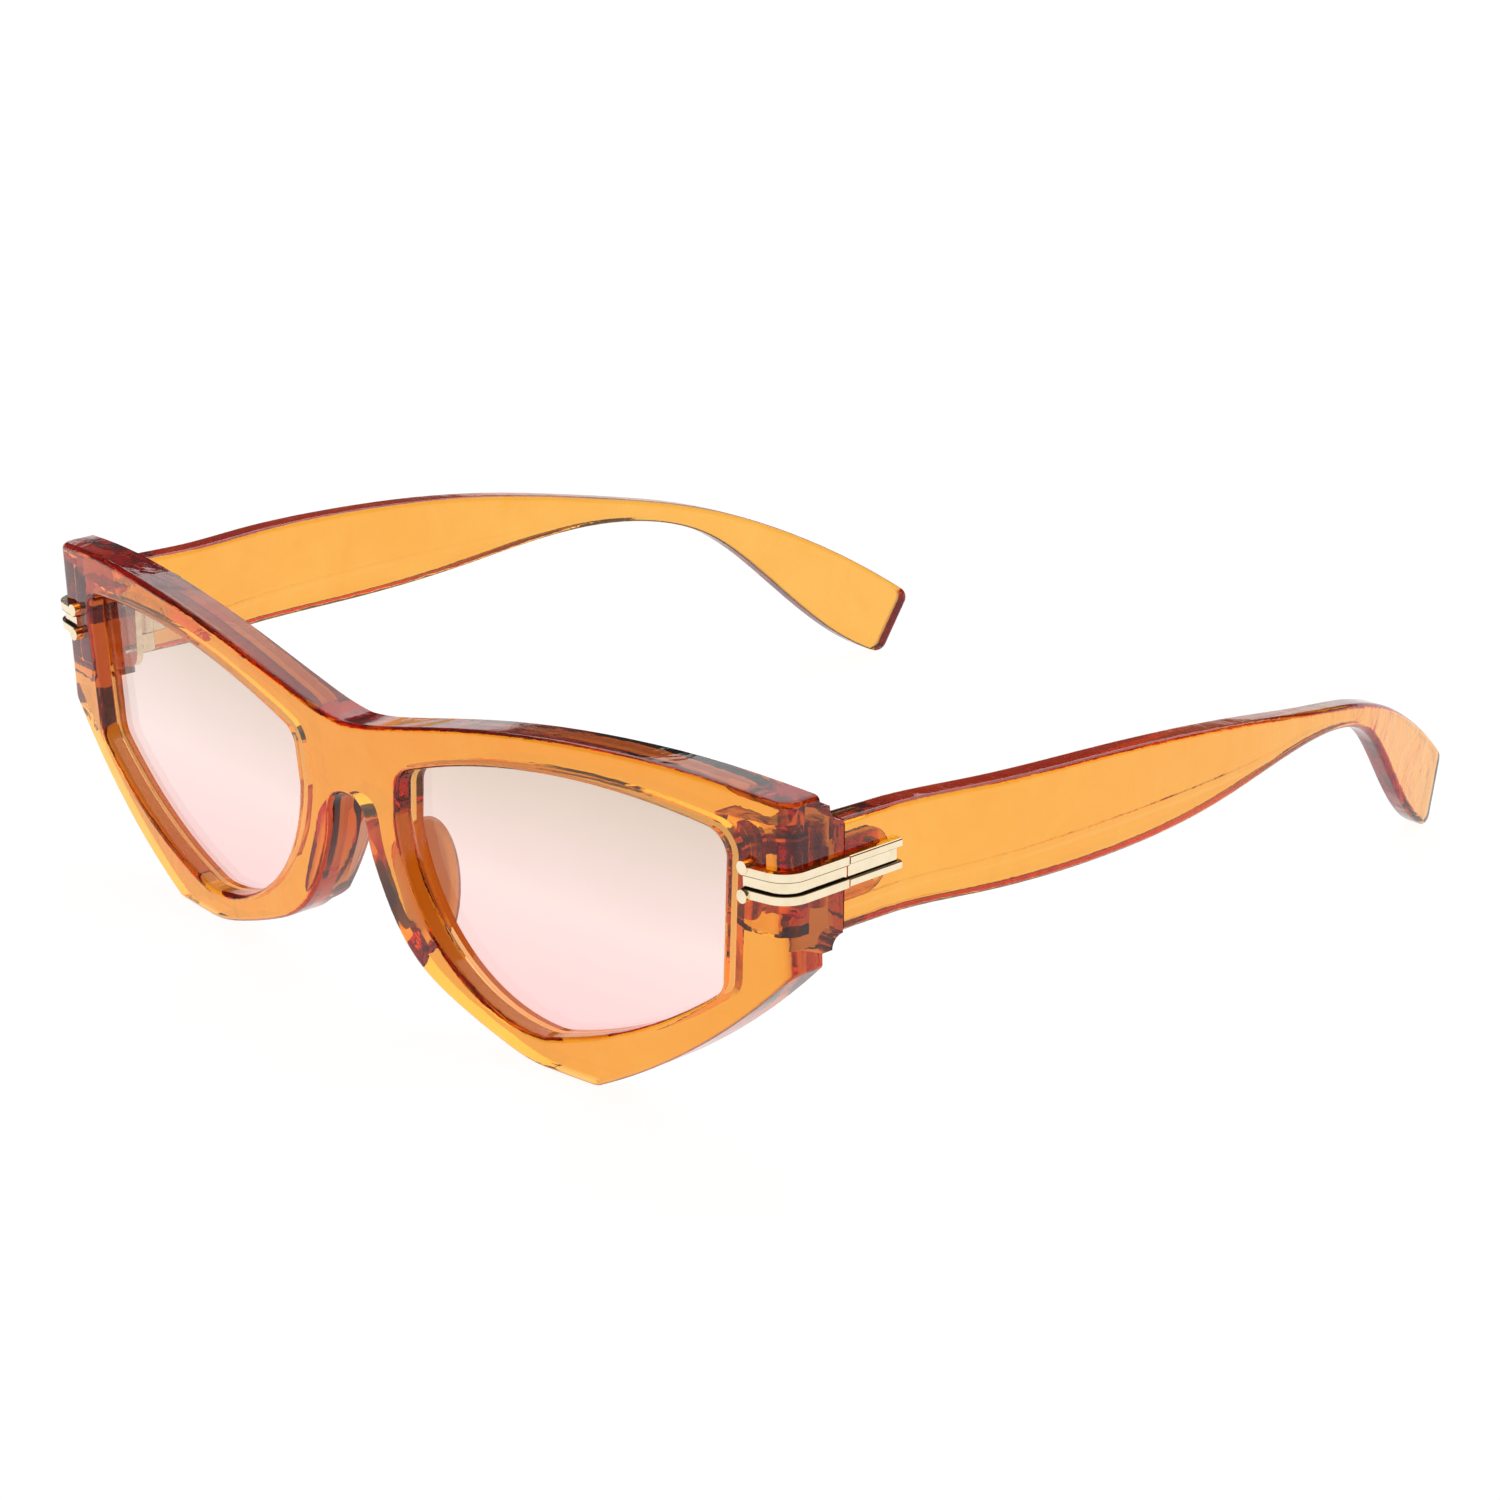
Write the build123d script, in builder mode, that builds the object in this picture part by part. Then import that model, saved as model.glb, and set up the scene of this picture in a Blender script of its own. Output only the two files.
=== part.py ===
"""Cat eye sunglasses: a moulded translucent front, two lenses, two folding temples.

Frame: X across the face (+X is the wearer's left), -Y the way the wearer looks,
+Z up, origin at the middle of the underside of the whole object.  Millimetres.
"""
import os
from math import asin, cos, degrees, radians, sin, sqrt, tan

from build123d import *

# ---------------------------------------------------------------- driving sizes
front_y = -75.73         # where the front face crosses the middle plane at z = 0
face_radius = 350.0      # the front is bent to a wide cylinder (the base curve)
face_tilt = 2.6          # degrees, the lower rims lean back towards the cheeks
back_tilt = 1.8          # degrees, so that the rims are thinner below than at the brow
back_depth = 4.85        # thickness of the rims at the ground, in the middle
edge_radius = 0.8
half_width = 72.2        # middle plane to the outer side of an end piece
corner_radius = 2.6      # front-to-side corner of an end piece, seen from above

lens_depth = 2.4         # front face to the lens's front
lens_thick = 1.7
lens_lap = 0.8           # how far the lens edge goes into the rim's groove
groove_play = 0.03

joint_y = front_y + 15.05  # butt plane between end piece and temple
joint_gap = 0.15
stub_low, stub_high = 25.5, 39.4
sweep_low, sweep_high = 1.7, 2.3   # hollow curves from the stub up and down to the shell
temple_thick = 3.9
temple_y = joint_y - 13.5  # where the temple's lengths are counted from

hinge_x = 65.0           # fold axis, inside the temple's inner face
barrel_radius = 1.5
pin_radius = 0.7
pin_play = 0.06
hinge_mid_z = 32.7
knuckle_half = 2.3       # half height of the temple's middle knuckle
barrel_half = 5.0        # half height of the whole three-part barrel
knuckle_gap = 0.08
leaf_thick = 1.0
seat_y = front_y + 12.0  # flat behind the end piece that the front leaf sits on

trim_mid_z = 33.25
trim_height = 3.9
trim_base = 0.55         # metal thickness in the channel
trim_rib = 1.0           # metal thickness at the two ribs
rib_height = 1.15
trim_start_x = 66.7      # front end of the trim on the front face
temple_trim_length = 8.5

# a plane square to the tilted front cylinder's axis, at the ground
tilt = radians(face_tilt)
face_plane = Plane(origin=(0, front_y, 0), x_dir=(1, 0, 0), z_dir=(0, -sin(tilt), cos(tilt)))

# the same, for the back of the shell
lean = radians(back_tilt)
back_plane = Plane(origin=(0, front_y, 0), x_dir=(1, 0, 0), z_dir=(0, -sin(lean), cos(lean)))

# the front view, drawn ahead of the whole front so that it is cut through backwards
front_view = Plane.XZ.offset(-front_y + 20)
front_view_depth = 60

os.makedirs("parts", exist_ok=True)


def face_sag(x, radius=face_radius):
    """How far back the cylinder of this radius is at x."""
    return radius - sqrt(radius**2 - x**2)


def face_y(x, z):
    """World y of the front surface."""
    return front_y + face_sag(x) / cos(tilt) - z * tan(tilt)


def face_band(near, far, reach=80.0):
    """Plan of the shell between two depths behind the front surface."""
    near_sag = face_sag(reach, face_radius - near)
    far_sag = face_sag(reach, face_radius - far)
    with BuildSketch() as band:
        with BuildLine():
            a = ThreePointArc((-reach, near + near_sag), (0, near), (reach, near + near_sag))
            b = ThreePointArc((reach, far + far_sag), (0, far), (-reach, far + far_sag))
            Line(a @ 1, b @ 0)
            Line(b @ 1, a @ 0)
        make_face()
    return band.sketch_local


def half_outline():
    """Front view of the +X half of the frame: brow, end piece, rim and nose side."""
    with BuildSketch() as half:
        with BuildLine():
            brow = Spline(
                (0, 37.0), (9, 38.5), (22, 41.4), (36, 43.6), (51, 44.6), (76, 42.8),
                tangents=[(1, 0.06), (1, -0.14)],
            )
            side = Line(brow @ 1, (76, 26.6))
            cheek = ThreePointArc(side @ 1, (58, 9.4), (42.5, 0.0))
            foot = Line(cheek @ 1, (34.5, 0.0))
            nose = Spline(
                foot @ 1, (27, 1.4), (19, 4.2), (12.1, 7.8), (7.9, 12.5), (5.3, 17.5),
                (3.7, 22.5), (0, 27.1),
                tangents=[(-1, 0), (-1, 0)],
            )
            Line(nose @ 1, brow @ 0)
        make_face()
        foot_corner = half.vertices().filter_by(lambda v: v.X > 41).sort_by(Axis.Y)[0]
        fillet(foot_corner, radius=2.5)
    return half.sketch_local


def lens_opening(grow=0.0):
    """Front view of the +X lens opening, made larger all round by grow."""
    with BuildSketch() as opening:
        with BuildLine():
            top = ThreePointArc((10.6, 32.8), (38, 39.2), (63.7, 37.9))
            outer = Line(top @ 1, (62.3, 18.0))
            cheek = ThreePointArc(outer @ 1, (49.2, 9.6), (34.4, 4.2))
            nose = ThreePointArc(cheek @ 1, (16.4, 11.8), (10.0, 26.0))
            Line(nose @ 1, top @ 0)
        make_face()
        low_corner = opening.vertices().sort_by(Axis.Y)[0]
        fillet(low_corner, radius=7.0)
        outer_corners = opening.vertices().sort_by(Axis.X)[-2:]
        fillet(outer_corners, radius=3.2)
        nose_corners = opening.vertices().sort_by(Axis.X)[0:2]
        fillet(nose_corners, radius=3.0)
        if grow:
            offset(amount=grow)
    return opening.sketch_local


corner_in = (half_width - corner_radius) / (1 - corner_radius / face_radius)
corner_turn = 90 - degrees(asin(corner_in / face_radius))


def wrap_outline(grow, start_x):
    """Plan line from start_x on the front face, round the corner, along the side."""
    face_r = face_radius + grow
    near = corner_in * face_r / face_radius
    with BuildLine(Plane.XY, mode=Mode.PRIVATE) as path:
        face = ThreePointArc(
            (start_x, face_sag(start_x, face_r) - grow),
            ((start_x + near) / 2, face_sag((start_x + near) / 2, face_r) - grow),
            (near, face_sag(near, face_r) - grow),
        )
        turn = JernArc(face @ 1, face % 1, corner_radius + grow, corner_turn)
        Line(turn @ 1, (half_width + grow, 24))
    return path.line


def finish(name, piece):
    """Label a piece and write its file."""
    piece.part.label = name
    export_step(piece.part, f"parts/{name}.step")


def finish_pair(name, piece):
    """Write the wearer's left piece as built and the right one as its mirror image."""
    with BuildPart() as other:
        mirror(piece.part, about=Plane.YZ)
    finish(f"{name}_left", piece)
    finish(f"{name}_right", other)


# ---------------------------------------------------------------- lenses
# curved panes with the same bend as the front, held all round in a groove
with BuildPart() as lens:
    with BuildSketch(front_view):
        add(lens_opening(lens_lap))
    extrude(amount=-front_view_depth)
    with BuildSketch(face_plane):
        add(face_band(lens_depth, lens_depth + lens_thick))
    extrude(amount=60, both=True, mode=Mode.INTERSECT)
finish_pair("lens", lens)

with BuildPart() as lens_groove:
    with BuildSketch(front_view):
        add(lens_opening(lens_lap + groove_play))
    extrude(amount=-front_view_depth)
    with BuildSketch(face_plane):
        add(face_band(lens_depth - groove_play, lens_depth + lens_thick + groove_play))
    extrude(amount=60, both=True, mode=Mode.INTERSECT)

# ---------------------------------------------------------------- hinges
# a three-knuckle barrel hinge: the front leaf carries the two outer knuckles
seat_inner, seat_outer = 59.4, 67.4
leaf_center_x, leaf_half_width, leaf_half_height = 62.9, 2.3, 6.2
leaf_screw_x, leaf_screw_rise = 61.9, 3.4
screw_radius, screw_head_radius, screw_head_height = 0.55, 0.95, 0.35
front_screw_reach, temple_screw_reach = 2.3, 2.6
temple_inner_x = half_width - temple_thick
temple_leaf_front, temple_leaf_back = joint_y + 1.7, joint_y + 9.0
temple_leaf_half = 4.1
temple_screw_y, temple_screw_rise = joint_y + 6.0, 2.1
knuckle_low = hinge_mid_z - knuckle_half - knuckle_gap
knuckle_high = hinge_mid_z + knuckle_half + knuckle_gap
barrel_low = hinge_mid_z - barrel_half
barrel_high = hinge_mid_z + barrel_half
seat_view = Plane(origin=(0, seat_y, hinge_mid_z), x_dir=(1, 0, 0), z_dir=(0, -1, 0))

with BuildPart() as front_leaf:
    with BuildSketch(seat_view):
        with Locations((leaf_center_x, 0)):
            SlotOverall(2 * leaf_half_height, 2 * leaf_half_width, rotation=90)
    extrude(amount=leaf_thick)
    for low, high in ((barrel_low, knuckle_low), (knuckle_high, barrel_high)):
        with BuildSketch(Plane.XY.offset(low)):
            with Locations((hinge_x, joint_y)):
                Circle(barrel_radius)
            with Locations((hinge_x - barrel_radius, seat_y)):
                Rectangle(1.7, joint_y - seat_y, align=(Align.MIN, Align.MIN))
            with Locations((hinge_x, joint_y)):
                Circle(pin_radius, mode=Mode.SUBTRACT)
        extrude(amount=high - low)
    with Locations(seat_view):
        with Locations((leaf_screw_x, -leaf_screw_rise), (leaf_screw_x, leaf_screw_rise)):
            Hole(screw_radius)
finish_pair("front_hinge_leaf", front_leaf)

with BuildPart() as front_screws:
    for rise in (-leaf_screw_rise, leaf_screw_rise):
        with BuildSketch(seat_view):
            with Locations((leaf_screw_x, rise)):
                Circle(screw_radius)
        extrude(amount=front_screw_reach)
        with BuildSketch(seat_view):
            with Locations((leaf_screw_x, rise)):
                Circle(screw_head_radius)
        extrude(amount=-screw_head_height)
        with BuildSketch(seat_view.offset(-screw_head_height)):
            with Locations((leaf_screw_x, rise)):
                Rectangle(1.5, 0.3)
        extrude(amount=0.18, mode=Mode.SUBTRACT)
finish_pair("front_leaf_screws", front_screws)

side_view = Plane(origin=(temple_inner_x, 0, hinge_mid_z), x_dir=(0, 1, 0), z_dir=(1, 0, 0))


def temple_leaf_shape(front, play=0.0):
    """Side view of the temple leaf, or its pocket: square in front, round behind."""
    radius = temple_leaf_half + play
    with BuildSketch() as shape:
        with Locations((front, -radius)):
            Rectangle(temple_leaf_back + play - radius - front, 2 * radius, align=(Align.MIN, Align.MIN))
        with Locations((temple_leaf_back + play - radius, 0)):
            Circle(radius)
    return shape.sketch_local


with BuildPart() as temple_leaf:
    with BuildSketch(side_view):
        add(temple_leaf_shape(temple_leaf_front))
    extrude(amount=leaf_thick)
    with BuildSketch(Plane.XY.offset(hinge_mid_z - knuckle_half)):
        with Locations((hinge_x, joint_y)):
            Circle(barrel_radius)
        with BuildLine():
            Polyline(
                (hinge_x, joint_y + 0.3), (temple_inner_x + leaf_thick, joint_y + 1.0),
                (temple_inner_x + leaf_thick, temple_leaf_front + 1.2),
                (temple_inner_x, temple_leaf_front + 1.2), (hinge_x, joint_y + barrel_radius),
                close=True,
            )
        make_face()
        with Locations((hinge_x, joint_y)):
            Circle(pin_radius + pin_play, mode=Mode.SUBTRACT)
    extrude(amount=2 * knuckle_half)
    with Locations(side_view):
        with Locations((temple_screw_y, -temple_screw_rise), (temple_screw_y, temple_screw_rise)):
            Hole(screw_radius)
finish_pair("temple_hinge_leaf", temple_leaf)

with BuildPart() as temple_screws:
    for rise in (-temple_screw_rise, temple_screw_rise):
        with BuildSketch(side_view):
            with Locations((temple_screw_y, rise)):
                Circle(screw_radius)
        extrude(amount=temple_screw_reach)
        with BuildSketch(side_view):
            with Locations((temple_screw_y, rise)):
                Circle(screw_head_radius)
        extrude(amount=-screw_head_height)
        with BuildSketch(side_view.offset(-screw_head_height)):
            with Locations((temple_screw_y, rise)):
                Rectangle(1.5, 0.3)
        extrude(amount=0.18, mode=Mode.SUBTRACT)
finish_pair("temple_leaf_screws", temple_screws)

with BuildPart() as hinge_screw:
    with BuildSketch(Plane.XY.offset(barrel_low + 0.2)):
        with Locations((hinge_x, joint_y)):
            Circle(pin_radius)
    extrude(amount=2 * barrel_half - 0.2)
    with BuildSketch(Plane.XY.offset(barrel_high)):
        with Locations((hinge_x, joint_y)):
            Circle(1.3)
    extrude(amount=0.7)
    with BuildSketch(Plane.XY.offset(barrel_high + 0.7)):
        with Locations((hinge_x, joint_y)):
            Rectangle(3, 0.4)
    extrude(amount=-0.35, mode=Mode.SUBTRACT)
finish_pair("hinge_screw", hinge_screw)

# ---------------------------------------------------------------- metal trims
# plated bars with two ribs and a channel; round knobs end the ribs on the front
trim_low = trim_mid_z - trim_height / 2
trim_high = trim_mid_z + trim_height / 2
knob_radius = 0.85
pin_reach, trim_pin_radius = 1.5, 0.5
front_pin_x, side_pin_y = 68.0, joint_y - 2.6
front_pin_end = face_y(front_pin_x, trim_mid_z) + pin_reach


def wrap_band(grow):
    """Plan of a layer this thick laid on the front face, the corner and the side."""
    with BuildSketch() as band:
        with BuildLine():
            add(wrap_outline(grow, trim_start_x))
            add(wrap_outline(0, trim_start_x))
            inner_start = (trim_start_x, face_sag(trim_start_x))
            outer_start = (trim_start_x, face_sag(trim_start_x, face_radius + grow) - grow)
            Line(outer_start, inner_start)
            Line((half_width + grow, 24), (half_width, 24))
        make_face()
    return band.sketch_local


def trim_layer(grow, low, high):
    """One level layer of the front trim, following the leaning front face."""
    with BuildPart(mode=Mode.PRIVATE) as layer:
        with BuildSketch(face_plane):
            add(wrap_band(grow))
        extrude(amount=60, both=True)
        with BuildSketch(Plane.XY.offset(low)):
            with Locations((60, front_y - 5)):
                Rectangle(20, joint_y - front_y + 5, align=(Align.MIN, Align.MIN))
        extrude(amount=high - low, mode=Mode.INTERSECT)
    return layer.part


knob_set = 0.35          # how deep the knobs are let into the front face
knob_plane = Plane(
    origin=(0, face_y(trim_start_x, trim_mid_z) + knob_set, 0), x_dir=(1, 0, 0), z_dir=(0, -1, 0)
)
knob_spots = [(trim_start_x + 0.3, trim_low + 0.2), (trim_start_x + 0.3, trim_high - 0.2)]
with BuildPart() as front_trim:
    add(trim_layer(trim_base, trim_low, trim_high))
    add(trim_layer(trim_rib, trim_low, trim_low + rib_height))
    add(trim_layer(trim_rib, trim_high - rib_height, trim_high))
    with BuildSketch(knob_plane):
        with Locations(*knob_spots):
            Circle(knob_radius)
    extrude(amount=knob_set + trim_rib + 0.1)
    with BuildSketch(Plane.XZ.offset(-front_pin_end)):
        with Locations((front_pin_x, trim_mid_z)):
            Circle(trim_pin_radius)
    extrude(amount=pin_reach + 0.2)
    with BuildSketch(Plane.YZ.offset(half_width)):
        with Locations((side_pin_y, trim_mid_z)):
            Circle(trim_pin_radius)
    extrude(amount=-pin_reach)
finish_pair("front_trim", front_trim)

temple_trim_front = joint_y + joint_gap
temple_pin_offsets = (2.4, 6.4)
with BuildPart() as temple_trim:
    with BuildSketch(Plane.YZ.offset(half_width)):
        with Locations((temple_trim_front, trim_low)):
            Rectangle(temple_trim_length - 0.5, trim_height, align=(Align.MIN, Align.MIN))
    extrude(amount=trim_base)
    with BuildSketch(Plane.YZ.offset(half_width)):
        with Locations((temple_trim_front, trim_low), (temple_trim_front, trim_high - rib_height)):
            Rectangle(temple_trim_length, rib_height, align=(Align.MIN, Align.MIN))
    extrude(amount=trim_rib)
    with BuildSketch(Plane.YZ.offset(half_width)):
        for offset_y in temple_pin_offsets:
            with Locations((joint_y + offset_y, trim_mid_z)):
                Circle(trim_pin_radius)
    extrude(amount=-pin_reach)
    rib_edges = temple_trim.edges().filter_by(Axis.Y).group_by(Axis.X)[-1]
    fillet(rib_edges, radius=0.3)
finish_pair("temple_trim", temple_trim)

# ---------------------------------------------------------------- temples
# one moulded arm: deep and flat in front, waisted over the ear, paddle-shaped tip
with BuildPart() as temple:
    with BuildSketch(Plane.YZ.offset(40)):
        with BuildLine():
            start = joint_y + joint_gap
            upper = Spline(
                (start, 39.4), (temple_y + 40, 38.6), (temple_y + 66, 37.1), (temple_y + 84, 34.8),
                (temple_y + 100, 31.8), (temple_y + 118, 27.6), (temple_y + 134, 20.8),
                (temple_y + 152, 9.2),
            )
            lower = Spline(
                (start, 25.5), (temple_y + 45, 24.6), (temple_y + 62, 24.5), (temple_y + 76, 25.4),
                (temple_y + 90, 27.0), (temple_y + 106, 27.1), (temple_y + 118, 23.5),
                (temple_y + 126, 17.1), (temple_y + 134.5, 8.6), (temple_y + 147.5, -0.46),
            )
            Line(upper @ 0, lower @ 0)
            Line(upper @ 1, lower @ 1)
        temple_side = make_face()
        fillet(temple_side.vertices().sort_by(Axis.X)[-2:], radius=1.8)
    extrude(amount=60)
    with BuildSketch(Plane.XY.offset(-5)):
        with BuildLine():
            flat_end = joint_y + 9.4
            outer_flat = Line((half_width, start - 1), (half_width, flat_end))
            outer = Spline(
                outer_flat @ 1, (half_width + 2.0, temple_y + 36), (half_width + 3.1, temple_y + 55),
                (half_width + 2.4, temple_y + 78), (71.5, temple_y + 100), (66.8, temple_y + 118),
                (61.1, temple_y + 134), (54.3, temple_y + 153),
                tangents=[(0.06, 1), (-0.37, 1)],
            )
            inner_flat = Line((temple_inner_x, start - 1), (temple_inner_x, flat_end))
            inner = Spline(
                inner_flat @ 1, (half_width - 1.9, temple_y + 36), (half_width - 0.7, temple_y + 55),
                (half_width - 1.3, temple_y + 77.6), (68.1, temple_y + 99.2), (63.5, temple_y + 117),
                (58.0, temple_y + 132.7), (51.2, temple_y + 152),
                tangents=[(0.06, 1), (-0.37, 1)],
            )
            Line(outer_flat @ 0, inner_flat @ 0)
            Line(outer @ 1, inner @ 1)
        make_face()
    extrude(amount=60, mode=Mode.INTERSECT)
    long_edges = temple.edges().filter_by(lambda e: e.center().Y > start + 0.5)
    fillet(long_edges, radius=edge_radius)
    with BuildSketch(side_view):
        add(temple_leaf_shape(start - 1, play=0.05))
    extrude(amount=leaf_thick, mode=Mode.SUBTRACT)
    with BuildSketch(side_view):
        with Locations((temple_screw_y, -temple_screw_rise), (temple_screw_y, temple_screw_rise)):
            Circle(screw_radius)
    extrude(amount=temple_screw_reach, mode=Mode.SUBTRACT)
    with BuildSketch(Plane.YZ.offset(half_width)):
        for offset_y in temple_pin_offsets:
            with Locations((joint_y + offset_y, trim_mid_z)):
                Circle(trim_pin_radius)
    extrude(amount=-pin_reach, mode=Mode.SUBTRACT)
finish_pair("temple", temple)

# ---------------------------------------------------------------- front frame
# one moulded piece: rims, bridge, end pieces, nose pads and the hinge seats
with BuildPart() as front_frame:
    # everything behind the front face, with rounded corners at both sides
    with BuildSketch(face_plane):
        with BuildLine():
            add(wrap_outline(0, 0))
            Line((half_width, 24), (0, 24))
            Line((0, 24), (0, 0))
        make_face()
        mirror(about=Plane.YZ)
    extrude(amount=60, both=True)
    # down to the shell's thickness
    with BuildSketch(back_plane):
        add(face_band(back_depth, 40, reach=90))
    extrude(amount=60, both=True, mode=Mode.SUBTRACT)
    # hinge seats and the stubs that the temples butt against
    with BuildSketch(Plane.XY.offset(stub_low)):
        with BuildLine():
            Polyline(
                (seat_inner, front_y + 8), (seat_inner, seat_y), (seat_outer + 1, seat_y),
                (seat_outer + 1, front_y + 8), close=True,
            )
        make_face()
        mirror(about=Plane.YZ)
    extrude(amount=stub_high - stub_low)
    for side in (1, -1):
        with BuildSketch(Plane.YZ.offset(side * seat_outer)):
            with BuildLine():
                Polyline(
                    (joint_y - sweep_high, stub_high + sweep_high), (front_y + 10.5, stub_high + sweep_high),
                    (front_y + 10.5, stub_low - sweep_low), (joint_y - sweep_low, stub_low - sweep_low),
                )
                RadiusArc(
                    (joint_y - sweep_high, stub_high + sweep_high), (joint_y, stub_high), -sweep_high
                )
                RadiusArc((joint_y, stub_low), (joint_y - sweep_low, stub_low - sweep_low), -sweep_low)
                Line((joint_y, stub_high), (joint_y, stub_low))
            make_face()
        extrude(amount=side * (half_width - seat_outer))
    # nose pads, one soft bump behind each rim's nose side
    for side in (1, -1):
        pad_plane = Plane(
            origin=(side * 9.2, front_y + 5.4, 16.3), x_dir=(0, 0.1, 1), z_dir=(side, -0.4, 0.36)
        )
        with BuildPart(mode=Mode.PRIVATE) as pad:
            with BuildSketch(pad_plane):
                Ellipse(8.6, 3.9)
            extrude(amount=2.0, both=True)
            fillet(pad.edges(), radius=1.5)
        add(pad.part)
    # the front-view outline and the lens openings
    with BuildSketch(front_view):
        add(half_outline())
        mirror(about=Plane.YZ)
    extrude(amount=-front_view_depth, mode=Mode.INTERSECT)
    with BuildSketch(front_view):
        add(lens_opening())
        mirror(about=Plane.YZ)
    extrude(amount=-front_view_depth, mode=Mode.SUBTRACT)
    # the moulding's front edges are softened
    cylinders = front_frame.faces().filter_by(GeomType.CYLINDER)
    front_face = cylinders.filter_by(lambda f: f.area > 800).sort_by(Axis.Y)[0]
    fillet(front_face.edges(), radius=edge_radius)
    # grooves for the lenses, pockets for the front leaves
    add(lens_groove.part, mode=Mode.SUBTRACT)
    add(mirror(lens_groove.part, about=Plane.YZ, mode=Mode.PRIVATE), mode=Mode.SUBTRACT)
    with BuildSketch(seat_view):
        with Locations((leaf_center_x, 0), (-leaf_center_x, 0)):
            SlotOverall(2 * leaf_half_height, 2 * leaf_half_width, rotation=90)
    extrude(amount=leaf_thick, mode=Mode.SUBTRACT)
    # holes for the leaf screws and the pins of the trims
    with BuildSketch(seat_view):
        for side in (1, -1):
            for rise in (-leaf_screw_rise, leaf_screw_rise):
                with Locations((side * leaf_screw_x, rise)):
                    Circle(screw_radius)
    extrude(amount=front_screw_reach, mode=Mode.SUBTRACT)
    with BuildSketch(knob_plane):
        with Locations(*knob_spots):
            Circle(knob_radius)
        mirror(about=Plane.YZ)
    extrude(amount=3, mode=Mode.SUBTRACT)
    with BuildSketch(Plane.XZ.offset(-front_pin_end)):
        with Locations((front_pin_x, trim_mid_z), (-front_pin_x, trim_mid_z)):
            Circle(trim_pin_radius)
    extrude(amount=8, mode=Mode.SUBTRACT)
    for side in (1, -1):
        with BuildSketch(Plane.YZ.offset(side * half_width)):
            with Locations((side_pin_y, trim_mid_z)):
                Circle(trim_pin_radius)
        extrude(amount=-side * pin_reach, mode=Mode.SUBTRACT)
finish("front_frame", front_frame)
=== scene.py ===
import bpy
import numpy as np
from mathutils import Matrix, Vector


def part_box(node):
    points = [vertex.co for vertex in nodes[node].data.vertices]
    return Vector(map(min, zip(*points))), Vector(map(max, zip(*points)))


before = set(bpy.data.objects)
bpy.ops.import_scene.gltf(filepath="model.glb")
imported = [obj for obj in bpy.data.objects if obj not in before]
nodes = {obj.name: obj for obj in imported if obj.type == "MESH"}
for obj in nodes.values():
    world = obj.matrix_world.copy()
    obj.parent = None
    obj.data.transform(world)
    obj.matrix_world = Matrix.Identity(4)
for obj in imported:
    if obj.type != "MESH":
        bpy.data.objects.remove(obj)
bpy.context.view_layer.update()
SIDES = ("left", "right")

# ---------------------------------------------------------------- shared by all pieces
# Builders for the nodes that the materials are made of, the fine marks that handling
# leaves on every surface, and the modifiers that every piece gets.
WELD_REACH = 1e-6                        # metres, joins the loose triangles of a piece
CREASE_ANGLE = np.radians(32)            # edges sharper than this stay sharp
SCRATCH_TURN, SCRATCH_SQUEEZE = (0.4, 0.7, 0.3), (1, 30, 1)
SCRATCH_SHARE = -0.5                     # scratches cut in, half as deep as the pits


def make(tree, kind, inputs=None, **settings):
    """Adds a node; inputs gives each named socket a plain value or a socket to link."""
    node = tree.nodes.new(kind)
    for name, value in settings.items():
        setattr(node, name, value)
    for name, value in (inputs or {}).items():
        if isinstance(value, bpy.types.NodeSocket):
            tree.links.new(value, node.inputs[name])
        else:
            node.inputs[name].default_value = value
    return node


def new_material(name):
    """A material with its tree, its Principled shader and its output."""
    mat = bpy.data.materials.new(name)
    mat.use_nodes = True
    tree = mat.node_tree
    return mat, tree, tree.nodes["Principled BSDF"], tree.nodes["Material Output"]


def ramp(tree, factor, stops):
    """Colour that runs through stops, pairs of position and colour, as factor rises."""
    node = make(tree, "ShaderNodeValToRGB", {"Fac": factor})
    first, last = node.color_ramp.elements
    first.position, first.color = stops[0]
    last.position, last.color = stops[-1]
    for position, colour in stops[1:-1]:
        node.color_ramp.elements.new(position).color = colour
    return node.outputs["Color"]


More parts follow.
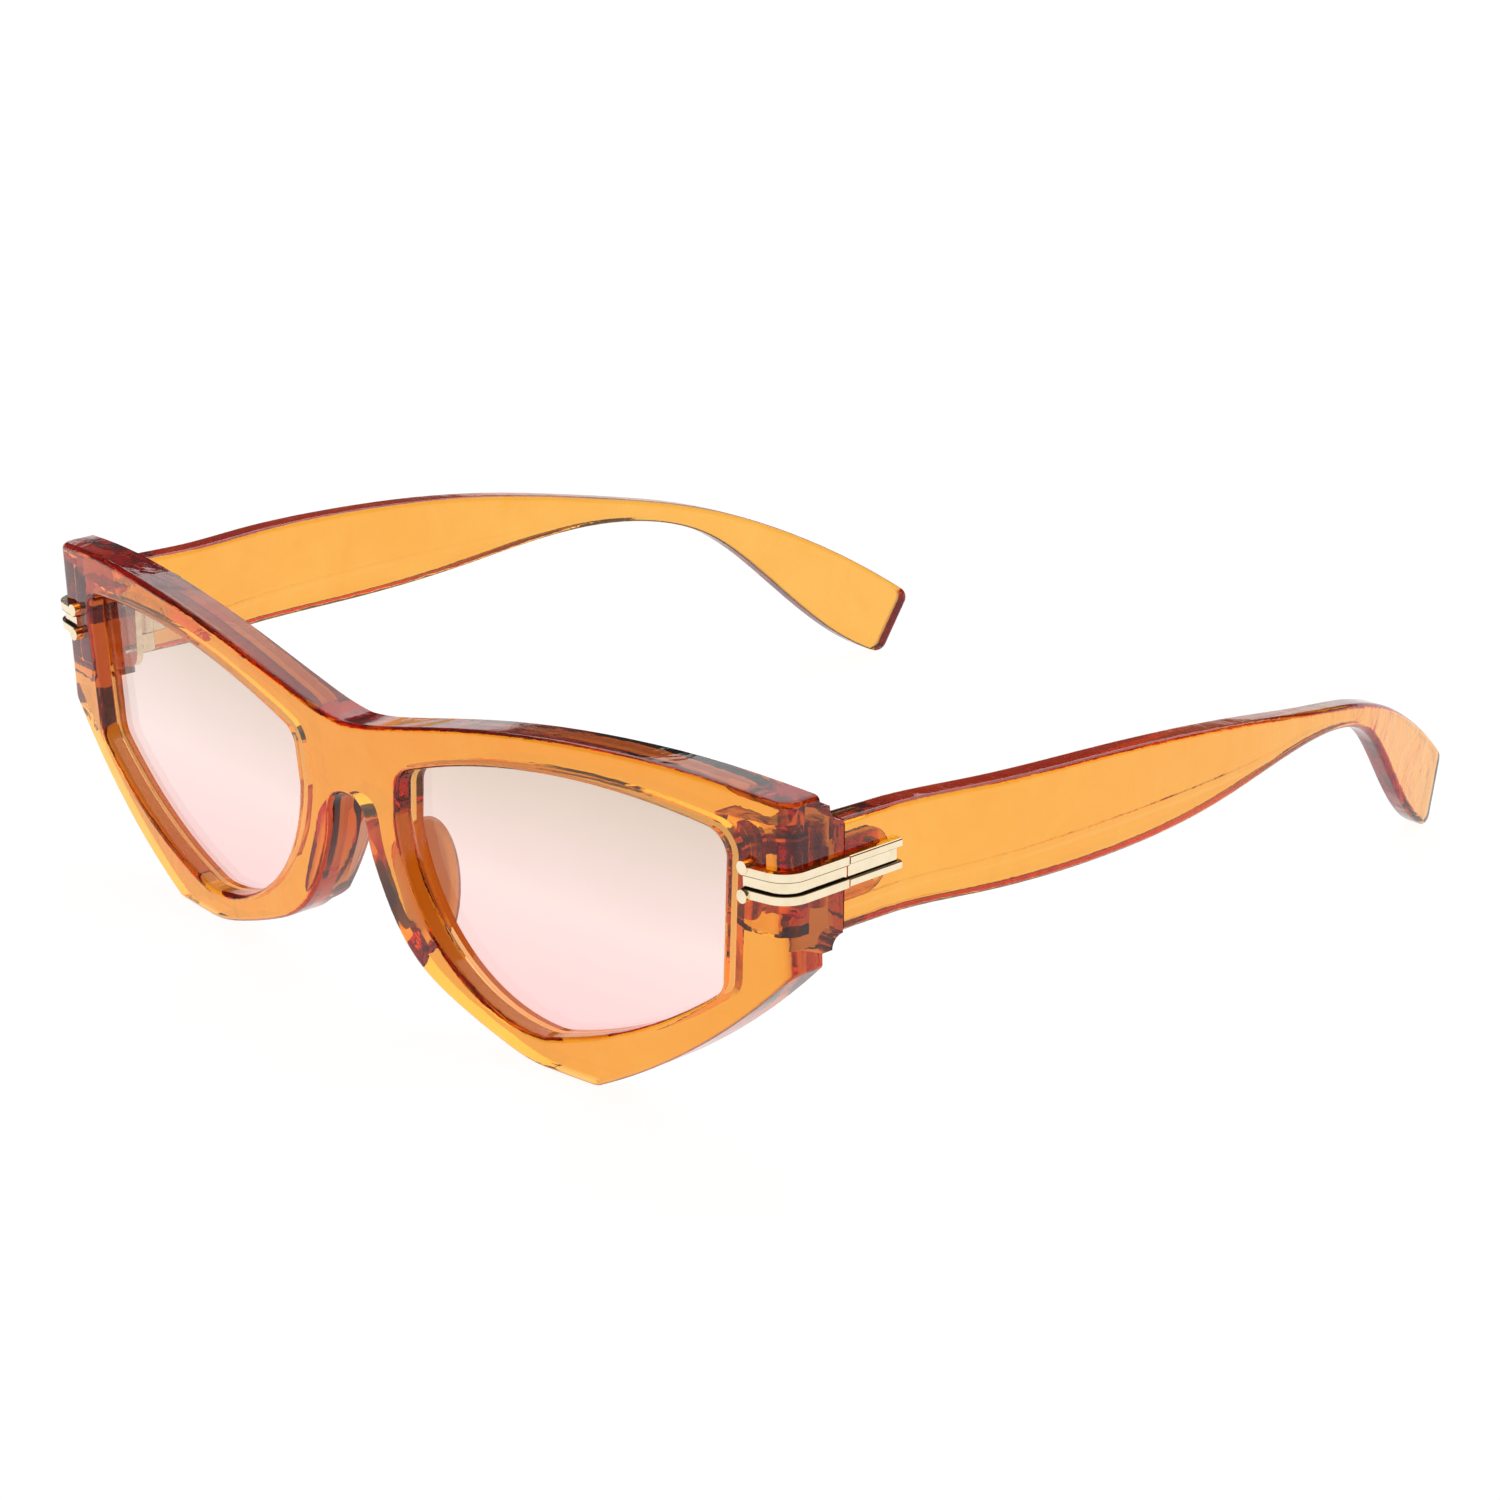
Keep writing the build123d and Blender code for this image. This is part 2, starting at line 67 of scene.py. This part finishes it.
def handling_marks():
    """Group of fine marks: Height = pits - 0.5 x scratches; Roughness follows the pits.

    Pits are noise.  Scratches are noise squeezed 30 : 1 along a turned axis, and kept
    where it rises from 0.60 to 0.74.  Roughness goes from Rough Low to Rough High while
    the pits go from 0.35 to 0.70.
    """
    group = bpy.data.node_groups.new("handling_marks", "ShaderNodeTree")
    face = group.interface
    face.new_socket("Vector", in_out="INPUT", socket_type="NodeSocketVector")
    for name in ("Scratch Scale", "Pit Scale", "Rough Low", "Rough High"):
        face.new_socket(name, in_out="INPUT", socket_type="NodeSocketFloat")
    for name in ("Height", "Roughness"):
        face.new_socket(name, in_out="OUTPUT", socket_type="NodeSocketFloat")
    given = make(group, "NodeGroupInput").outputs
    turned = make(group, "ShaderNodeMapping", {
        "Vector": given["Vector"], "Rotation": SCRATCH_TURN, "Scale": SCRATCH_SQUEEZE,
    })
    scratch = make(group, "ShaderNodeTexNoise", {
        "Vector": turned.outputs["Vector"], "Scale": given["Scratch Scale"], "Detail": 2,
    })
    kept = make(group, "ShaderNodeMapRange", {
        "Value": scratch.outputs["Fac"], "From Min": 0.60, "From Max": 0.74,
    })
    pits = make(group, "ShaderNodeTexNoise", {
        "Vector": given["Vector"], "Scale": given["Pit Scale"], "Detail": 3,
    })
    height = make(group, "ShaderNodeMath", {
        0: kept.outputs["Result"], 1: SCRATCH_SHARE, 2: pits.outputs["Fac"],
    }, operation="MULTIPLY_ADD")
    smudge = make(group, "ShaderNodeMapRange", {
        "Value": pits.outputs["Fac"], "From Min": 0.35, "From Max": 0.70,
        "To Min": given["Rough Low"], "To Max": given["Rough High"],
    })
    make(group, "NodeGroupOutput", {
        "Height": height.outputs["Value"], "Roughness": smudge.outputs["Result"],
    })
    return group


marks_group = handling_marks()


def marks(tree, place, sizes, low, high):
    """The marks group at work: sizes are scratches and pits per metre of surface."""
    scratch, pit = sizes
    return make(tree, "ShaderNodeGroup", {
        "Vector": place, "Scratch Scale": scratch, "Pit Scale": pit,
        "Rough Low": low, "Rough High": high,
    }, node_tree=marks_group)


def bump(tree, height, strength, distance, under=None, invert=False):
    """Normal for a height socket, laid over the normal under it."""
    inputs = {"Height": height, "Strength": strength, "Distance": distance}
    if under:
        inputs["Normal"] = under
    return make(tree, "ShaderNodeBump", inputs, invert=invert).outputs["Normal"]


def clear_shadow(tree, body, out, colour=(1, 1, 1, 1)):
    """Light on its way to the ground goes straight through, and takes on colour."""
    clear = make(tree, "ShaderNodeBsdfTransparent", {"Color": colour})
    mix = make(tree, "ShaderNodeMixShader", {
        0: make(tree, "ShaderNodeLightPath").outputs["Is Shadow Ray"],
        1: body.outputs["BSDF"], 2: clear.outputs["BSDF"],
    })
    tree.links.new(mix.outputs["Shader"], out.inputs["Surface"])


def polished(node, mat, gap=0.0):
    """Gives a node its material; loose triangles are joined and shaded as smooth faces.

    gap draws the surface in along its normals, the air that real pieces keep where
    they lie on each other.
    """
    obj = nodes[node]
    obj.data.materials.clear()
    obj.data.materials.append(mat)
    for poly in obj.data.polygons:
        poly.use_smooth = True
    weld = obj.modifiers.new("weld", "WELD")
    weld.merge_threshold = WELD_REACH
    if gap:
        air = obj.modifiers.new("air", "DISPLACE")
        air.strength = -gap
        air.mid_level = 0.0
    split = obj.modifiers.new("crease", "EDGE_SPLIT")
    split.split_angle = CREASE_ANGLE
    normals = obj.modifiers.new("normals", "WEIGHTED_NORMAL")
    normals.weight = 90


# ---------------------------------------------------------------- front and temples
# The front, with its rims, bridge, end pieces and nose pads, and the two temples are
# moulded from one clear plastic, dyed amber all through and tumbled to a high polish:
# thin walls glow orange, and long paths through the edges turn deep red-brown.  Painted
# shade in the base colour darkens the edges further.
PLASTIC_IOR = 1.49
POLISH, SMUDGED = 0.02, 0.05             # roughness after the tumbling, and where handled
PLASTIC_MARKS = (240, 900)               # scratches and pits per metre
PLASTIC_WEAR, PLASTIC_WEAR_DEPTH = 0.12, 0.00004
FLOW_SIZE, FLOW_TWIST = 95.0, 1.2        # flow marks per metre of moulding, and their curl
FLOW_RISE, FLOW_DEPTH = 0.25, 0.0006
SPECK_SIZE, SPECK_SHARE = 2600.0, 0.35   # pigment specks per metre, over the flow marks
DYE_THIN, DYE_THICK = (1.0, 0.80, 0.50, 1), (0.985, 0.73, 0.38, 1)
MOTTLING = ((0.52, DYE_THIN), (0.82, DYE_THICK))
FRONT_DYE, TEMPLE_DYE = (0.967, 0.715, 0.0, 1), (0.98, 0.735, 0.0, 1)
FRONT_DENSITY, TEMPLE_DENSITY = 450, 500          # absorption per metre
# painted shade: colours multiplied into the skin along the edges to darken them
FRONT_PAINTED_EDGE_SHADE, TEMPLE_PAINTED_EDGE_SHADE = (0.52, 0.30, 0.22, 1), (0.38, 0.28, 0.25, 1)
EDGE_STARTS, EDGE_FULL = 0.85, 0.45      # where the painted edge shade starts and is full: part of the normal along the broad face
CREASE_BACK, CREASE_FADE = 0.012, 0.02   # where the crease fades out, along Y
CREASE_Z, CREASE_ROUND = 0.0284, (-0.0002, 0.0004)  # its height, and how it turns over
CREASE_DEPTH = 0.00012


def mottle_with_painted_edge_shade(tree, coord, flow, edge_shade, face_axis):
    """Colour of the skin, mottled by the flow marks and the specks, with painted shade on
    the edges.

    The mottling follows flow + 0.35 x speck.  The painted shade colour for the edges
    multiplies it where abs(normal along face_axis) falls from EDGE_STARTS to EDGE_FULL.
    """
    speck = make(tree, "ShaderNodeTexNoise", {
        "Vector": coord.outputs["Object"], "Scale": SPECK_SIZE, "Detail": 2,
    })
    blend = make(tree, "ShaderNodeMath", {
        0: speck.outputs["Fac"], 1: SPECK_SHARE, 2: flow,
    }, operation="MULTIPLY_ADD")
    facing = make(tree, "ShaderNodeSeparateXYZ", {"Vector": coord.outputs["Normal"]})
    broad = make(tree, "ShaderNodeMath", {
        0: facing.outputs[face_axis],
    }, operation="ABSOLUTE")
    turned = make(tree, "ShaderNodeMapRange", {
        "Value": broad.outputs["Value"], "From Min": EDGE_STARTS, "From Max": EDGE_FULL,
    }, interpolation_type="SMOOTHSTEP")
    # painted shade: the edges are darkened towards the painted shade colour
    shaded_edges = make(tree, "ShaderNodeMix", {
        "Factor": turned.outputs["Result"],
        "A": ramp(tree, blend.outputs["Value"], MOTTLING), "B": edge_shade,
    }, data_type="RGBA", blend_type="MULTIPLY")
    return shaded_edges.outputs["Result"]


def low_facet(tree, place):
    """Mask of the temple's low facet: 1 under the crease line, 0 above it and at the back.

    It rises while CREASE_Z - z crosses CREASE_ROUND, and fades over CREASE_FADE each
    side of CREASE_BACK.
    """
    split = make(tree, "ShaderNodeSeparateXYZ", {"Vector": place})
    depth = make(tree, "ShaderNodeMath", {
        0: CREASE_Z, 1: split.outputs["Z"],
    }, operation="SUBTRACT")
    above, below = CREASE_ROUND
    facet = make(tree, "ShaderNodeMapRange", {
        "Value": depth.outputs["Value"], "From Min": above, "From Max": below,
    }, interpolation_type="SMOOTHSTEP")
    ends = make(tree, "ShaderNodeMapRange", {
        "Value": split.outputs["Y"],
        "From Min": CREASE_BACK + CREASE_FADE, "From Max": CREASE_BACK - CREASE_FADE,
    }, interpolation_type="SMOOTHSTEP")
    both = make(tree, "ShaderNodeMath", {
        0: facet.outputs["Result"], 1: ends.outputs["Result"],
    }, operation="MULTIPLY")
    return both.outputs["Value"]


def amber_plastic(name, colour, density, edge_shade, face_axis, creased=False):
    """Clear plastic that takes its colour from the light it absorbs on the way through.

    Absorption per metre is density x (1 - colour), and Base Color carries the mottled skin
    with painted shade that darkens the edges.  The flow marks and the wear are bump, and
    creased adds the temple's low facet: its height is CREASE_DEPTH x the facet's mask.
    """
    mat, tree, plastic, out = new_material(name)
    plastic.inputs["IOR"].default_value = PLASTIC_IOR
    plastic.inputs["Transmission Weight"].default_value = 1.0
    coord = make(tree, "ShaderNodeTexCoord")
    place = coord.outputs["Object"]
    flow = make(tree, "ShaderNodeTexNoise", {
        "Vector": place, "Scale": FLOW_SIZE, "Detail": 3, "Distortion": FLOW_TWIST,
    }).outputs["Fac"]
    # the base colour carries painted shade on the edges
    base_colour = mottle_with_painted_edge_shade(tree, coord, flow, edge_shade, face_axis)
    tree.links.new(base_colour, plastic.inputs["Base Color"])
    wear = marks(tree, place, PLASTIC_MARKS, POLISH, SMUDGED)
    tree.links.new(wear.outputs["Roughness"], plastic.inputs["Roughness"])
    normal = bump(tree, flow, FLOW_RISE, FLOW_DEPTH)
    normal = bump(tree, wear.outputs["Height"], PLASTIC_WEAR, PLASTIC_WEAR_DEPTH, normal)
    if creased:
        normal = bump(tree, low_facet(tree, place), 1.0, CREASE_DEPTH, normal, invert=True)
    tree.links.new(normal, plastic.inputs["Normal"])
    tint = make(tree, "ShaderNodeVolumeAbsorption", {"Color": colour, "Density": density})
    tree.links.new(tint.outputs["Volume"], out.inputs["Volume"])
    clear_shadow(tree, plastic, out)
    return mat


front_amber = amber_plastic("amber_front", FRONT_DYE, FRONT_DENSITY, FRONT_PAINTED_EDGE_SHADE, "Y")
temple_amber = amber_plastic(
    "amber_temple", TEMPLE_DYE, TEMPLE_DENSITY, TEMPLE_PAINTED_EDGE_SHADE, "X", creased=True
)
polished("front_frame", front_amber)
for side in SIDES:
    polished(f"temple_{side}", temple_amber)

# ---------------------------------------------------------------- lenses
# Curved clear panes, dip-dyed so that they fade from a warm grey under the brow to
# pink at the cheek, and snapped from behind into the groove of each rim.
LENS_IOR = 1.5
LENS_TOP, LENS_LOW = 0.040, 0.005        # heights that the fade runs between
CLOUD_SIZE, CLOUD_SWING = 60, 0.10       # uneven patches per metre, part of the fade
LENS_MARKS = (160, 400)                  # scratches and pits per metre
LENS_SMUDGED = 0.02                      # roughness where handled, 0 elsewhere
LENS_WEAR, LENS_WEAR_DEPTH = 0.03, 0.00002
BROW_TINT = (0.70, 0.575, 0.47, 1)
MIDDLE_TINT = (0.985, 0.77, 0.735, 1)
CHEEK_TINT = (0.985, 0.67, 0.665, 1)
FADE = ((0.0, CHEEK_TINT), (0.45, MIDDLE_TINT), (1.0, BROW_TINT))


def lens_dye():
    """Clear pane whose dye follows its height between LENS_LOW and LENS_TOP.

    The clouds add CLOUD_SWING x (noise - 0.5) to the height, so it is uneven by a few
    percent.
    """
    mat, tree, pane, out = new_material("tinted_lens")
    pane.inputs["IOR"].default_value = LENS_IOR
    pane.inputs["Transmission Weight"].default_value = 1.0
    place = make(tree, "ShaderNodeTexCoord").outputs["Object"]
    split = make(tree, "ShaderNodeSeparateXYZ", {"Vector": place})
    level = make(tree, "ShaderNodeMapRange", {
        "Value": split.outputs["Z"], "From Min": LENS_LOW, "From Max": LENS_TOP,
    })
    cloud = make(tree, "ShaderNodeTexNoise", {"Vector": place, "Scale": CLOUD_SIZE})
    uneven = make(tree, "ShaderNodeMath", {
        0: cloud.outputs["Fac"], 1: CLOUD_SWING, 2: -CLOUD_SWING / 2,
    }, operation="MULTIPLY_ADD")
    height = make(tree, "ShaderNodeMath", {
        0: level.outputs["Result"], 1: uneven.outputs["Value"],
    }, operation="ADD")
    base_colour = ramp(tree, height.outputs["Value"], FADE)
    tree.links.new(base_colour, pane.inputs["Base Color"])
    wear = marks(tree, place, LENS_MARKS, 0.0, LENS_SMUDGED)
    tree.links.new(wear.outputs["Roughness"], pane.inputs["Roughness"])
    normal = bump(tree, wear.outputs["Height"], LENS_WEAR, LENS_WEAR_DEPTH)
    tree.links.new(normal, pane.inputs["Normal"])
    clear_shadow(tree, pane, out, base_colour)
    return mat


lens_material = lens_dye()
for side in SIDES:
    polished(f"lens_{side}", lens_material)

# ---------------------------------------------------------------- gold trims
# Thin die-cast bars with two ribs and a channel, polished and plated pale gold, held
# to the end piece and the temple by small pins at their backs.
GOLD, GOLD_DEEP = (0.93, 0.80, 0.58, 1), (0.86, 0.71, 0.47, 1)
GOLD_ROUGHNESS, GOLD_WEAR = 0.06, 0.10
METAL_MARKS = (900, 1500)                # scratches and pits per metre
METAL_SMUDGE, METAL_WEAR_DEPTH = 0.10, 0.00005
PATCH_SIZE = 700                         # uneven patches of plating per metre
CONTACT_AIR = 0.00003                    # air between metal and plastic
RIB_HEIGHT = 0.00115
# painted shade: a dark band along the inner corners of the ribs
CORNER_WIDTH, CORNER_PAINTED_SHADE = 0.00011, (0.20, 0.13, 0.06, 1)


def plated(name, bright, deep, roughness, wear_strength, corners=()):
    """Plated metal: colour runs from bright to deep over a noise, with handling marks.

    corners are heights of inner corners, which get painted shade: the colour goes to the
    corner shade colour where abs(z - corner) is under CORNER_WIDTH.
    """
    mat, tree, metal, _ = new_material(name)
    metal.inputs["Metallic"].default_value = 1.0
    place = make(tree, "ShaderNodeTexCoord").outputs["Object"]
    patch = make(tree, "ShaderNodeTexNoise", {
        "Vector": place, "Scale": PATCH_SIZE, "Detail": 4,
    })
    colour = ramp(tree, patch.outputs["Fac"], ((0.42, bright), (0.85, deep)))
    split = make(tree, "ShaderNodeSeparateXYZ", {"Vector": place})
    # painted shade darkens a thin band at each inner corner
    for corner in corners:
        near = make(tree, "ShaderNodeMath", {
            0: split.outputs["Z"], 1: corner, 2: CORNER_WIDTH,
        }, operation="COMPARE")
        colour = make(tree, "ShaderNodeMix", {
            "Factor": near.outputs["Value"], "A": colour, "B": CORNER_PAINTED_SHADE,
        }, data_type="RGBA").outputs["Result"]
    tree.links.new(colour, metal.inputs["Base Color"])
    wear = marks(tree, place, METAL_MARKS, roughness, roughness + METAL_SMUDGE)
    tree.links.new(wear.outputs["Roughness"], metal.inputs["Roughness"])
    normal = bump(tree, wear.outputs["Height"], wear_strength, METAL_WEAR_DEPTH)
    tree.links.new(normal, metal.inputs["Normal"])
    return mat


trim_low, trim_high = (corner[2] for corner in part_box("temple_trim_left"))
rib_corners = (trim_low + RIB_HEIGHT, trim_high - RIB_HEIGHT)
gold = plated("gold_trim", GOLD, GOLD_DEEP, GOLD_ROUGHNESS, GOLD_WEAR, rib_corners)
for side in SIDES:
    polished(f"front_trim_{side}", gold, CONTACT_AIR)
    polished(f"temple_trim_{side}", gold, CONTACT_AIR)

# ---------------------------------------------------------------- hinges
# Stamped leaves with rolled three-part barrels, gold plated and satin, let into the
# plastic and held by small slotted screws; a longer slotted screw is the pin.
LEAF_GOLD, LEAF_GOLD_DEEP = (0.86, 0.74, 0.50, 1), (0.66, 0.52, 0.32, 1)
STEEL, STEEL_DEEP = (0.80, 0.77, 0.72, 1), (0.55, 0.52, 0.47, 1)
LEAF_ROUGHNESS, STEEL_ROUGHNESS, SATIN_WEAR = 0.20, 0.18, 0.25

leaf_gold = plated("hinge_gold", LEAF_GOLD, LEAF_GOLD_DEEP, LEAF_ROUGHNESS, SATIN_WEAR)
screw_steel = plated("screw_steel", STEEL, STEEL_DEEP, STEEL_ROUGHNESS, SATIN_WEAR)
for side in SIDES:
    for piece in ("front_hinge_leaf", "temple_hinge_leaf"):
        polished(f"{piece}_{side}", leaf_gold, CONTACT_AIR)
    for piece in ("hinge_screw", "front_leaf_screws", "temple_leaf_screws"):
        polished(f"{piece}_{side}", screw_steel, CONTACT_AIR)

# ---------------------------------------------------------------- floor and light
# A matt white sweep that is lit from below as well, as on a light table, under one
# wide soft light and dim surroundings, which the polished pieces show as dark edges.
FLOOR_SIZE = 8.0
PAPER, PAPER_GLOW = (0.22, 0.22, 0.22, 1), 0.92   # glow is light from under the paper
SURROUNDINGS = (                         # colours by the height of the direction, 0 to 1
    (0.07, (1, 1, 1, 1)), (0.12, (0.12, 0.11, 0.11, 1)),
    (0.45, (0.05, 0.05, 0.05, 1)), (0.95, (0.35, 0.35, 0.36, 1)),
)
MANY_WALLS, MANY_GLINTS = 32, 12         # bounces before a ray is used up

floor_corners = [
    (x * FLOOR_SIZE, y * FLOOR_SIZE, 0) for x, y in ((-1, -1), (1, -1), (1, 1), (-1, 1))
]
floor_mesh = bpy.data.meshes.new("floor")
floor_mesh.from_pydata(floor_corners, [], [(0, 1, 2, 3)])
floor = bpy.data.objects.new("floor", floor_mesh)
bpy.context.scene.collection.objects.link(floor)
paper, _, matt, _ = new_material("white_paper")
matt.inputs["Base Color"].default_value = PAPER
matt.inputs["Emission Color"].default_value = (1, 1, 1, 1)
matt.inputs["Emission Strength"].default_value = PAPER_GLOW
matt.inputs["Roughness"].default_value = 0.9
matt.inputs["Specular IOR Level"].default_value = 0.0
floor_mesh.materials.append(paper)

world = bpy.data.worlds.new("studio")
world.use_nodes = True
air = world.node_tree
direction = make(air, "ShaderNodeTexCoord").outputs["Generated"]
height = make(air, "ShaderNodeSeparateXYZ", {"Vector": direction}).outputs["Z"]
sky = air.nodes["Background"]
air.links.new(ramp(air, height, SURROUNDINGS), sky.inputs["Color"])
sky.inputs["Strength"].default_value = 1.0
bpy.context.scene.world = world


def softbox(name, place, aim, size, power):
    """An area light at place, turned to aim."""
    data = bpy.data.lights.new(name, "AREA")
    data.shape = "RECTANGLE"
    data.size, data.size_y = size
    data.energy = power
    lamp = bpy.data.objects.new(name, data)
    bpy.context.scene.collection.objects.link(lamp)
    lamp.location = place
    toward = Vector(aim) - Vector(place)
    lamp.rotation_euler = toward.to_track_quat("-Z", "Y").to_euler()


softbox("overhead", place=(-0.9, 1.5, 1.9), aim=(0, 0.1, 0), size=(3.2, 2.4), power=36)

# rays need to cross many clear walls before they are all used up
cycles = bpy.context.scene.cycles
cycles.max_bounces = MANY_WALLS
cycles.transmission_bounces = MANY_WALLS
cycles.transparent_max_bounces = MANY_WALLS
cycles.glossy_bounces = MANY_GLINTS

# ---------------------------------------------------------------- camera
# Level with a seated viewer's eyes, in front of the wearer's left side.
CAMERA_PLACE = (0.36088, -0.34946, 0.19261)
AZIMUTH, ELEVATION, ROLL = np.radians([46.497, 19.530, 0.061])
FOCAL_LENGTH, SENSOR_WIDTH = 91.73, 36   # millimetres

camera_data = bpy.data.cameras.new("camera")
camera_data.sensor_width = SENSOR_WIDTH
camera_data.lens = FOCAL_LENGTH
camera_data.clip_start = 0.01
camera = bpy.data.objects.new("camera", camera_data)
bpy.context.scene.collection.objects.link(camera)
right = np.array([np.cos(AZIMUTH), np.sin(AZIMUTH), 0])
up = np.array([
    -np.sin(AZIMUTH) * np.sin(ELEVATION), np.cos(AZIMUTH) * np.sin(ELEVATION),
    np.cos(ELEVATION),
])
across = np.cos(ROLL) * right + np.sin(ROLL) * up
upward = np.cos(ROLL) * up - np.sin(ROLL) * right
turn = np.column_stack([across, upward, np.cross(across, upward)])
camera.matrix_world = (
    Matrix.Translation(CAMERA_PLACE) @ Matrix(turn.tolist()).to_4x4()
)
bpy.context.scene.camera = camera
bpy.context.scene.view_settings.view_transform = "Standard"
